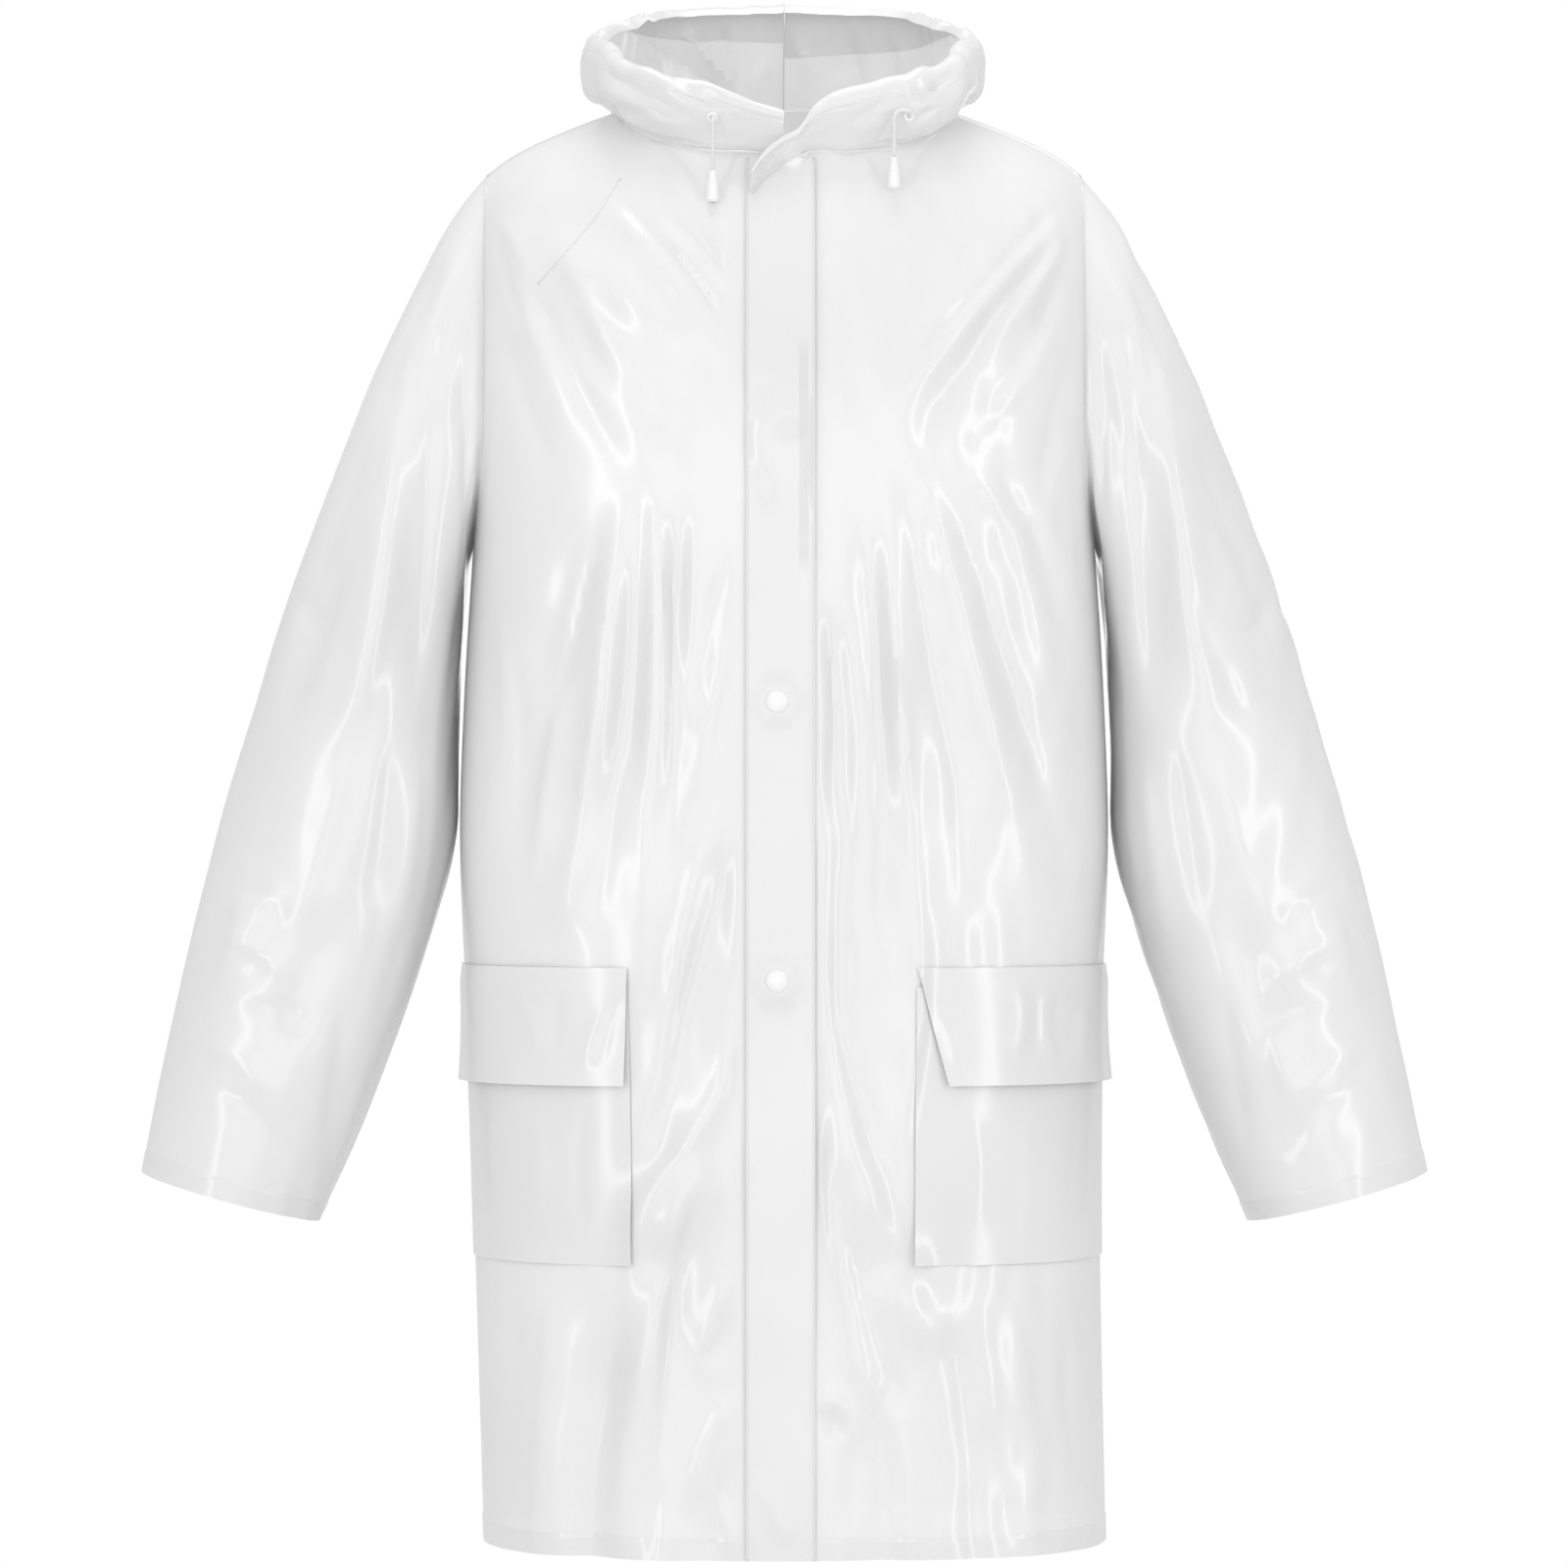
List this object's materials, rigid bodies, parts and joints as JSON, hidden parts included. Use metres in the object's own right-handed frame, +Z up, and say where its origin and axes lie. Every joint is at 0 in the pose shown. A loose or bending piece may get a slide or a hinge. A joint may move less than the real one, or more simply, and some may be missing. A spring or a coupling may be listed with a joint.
{
  "type": "hooded raincoat",
  "caption": "Long hooded raincoat of translucent white film, worn shape and hollow, with a zip under a snapped storm flap, patch pockets with flaps and hood drawcord ends.",
  "frame": {"origin": "between the shoulders, at the height where they carry the coat", "axes": "+Z up, -Y out of the front, +X towards the wearer's left sleeve"},
  "size_m": [0.964, 0.3493, 1.1692],
  "materials": {
    "film": "glossy translucent film",
    "white_plastic": "semi-gloss moulded",
    "white_cord": "matt braid"
  },
  "bodies": {
    "coat": {"front_right": "film", "front_left": "film", "back": "film", "sleeve_right": "film", "sleeve_left": "film", "hood_right": "film", "hood_left": "film", "storm_flap": "film", "pocket_right": "film", "pocket_left": "film", "pocket_flap_right": "film", "pocket_flap_left": "film", "zip": "white_plastic", "zip_slider": "white_plastic", "snap_stud_1": "white_plastic", "snap_stud_2": "white_plastic", "snap_cap_1": "white_plastic", "snap_cap_2": "white_plastic", "eyelet_right": "white_plastic", "eyelet_left": "white_plastic", "bell_right": "white_plastic", "bell_left": "white_plastic", "cord_right": "white_cord", "cord_left": "white_cord"},
    "pull": {"zip_pull": "white_plastic"}
  },
  "joints": [
    {"name": "zip_pull", "type": "hinge", "parent": "coat", "child": "pull", "pos_m": [0.0143, -0.15435, -0.21793], "axis": [0, -0.9972, 0.0741], "range_deg": [0, 61]}
  ]
}
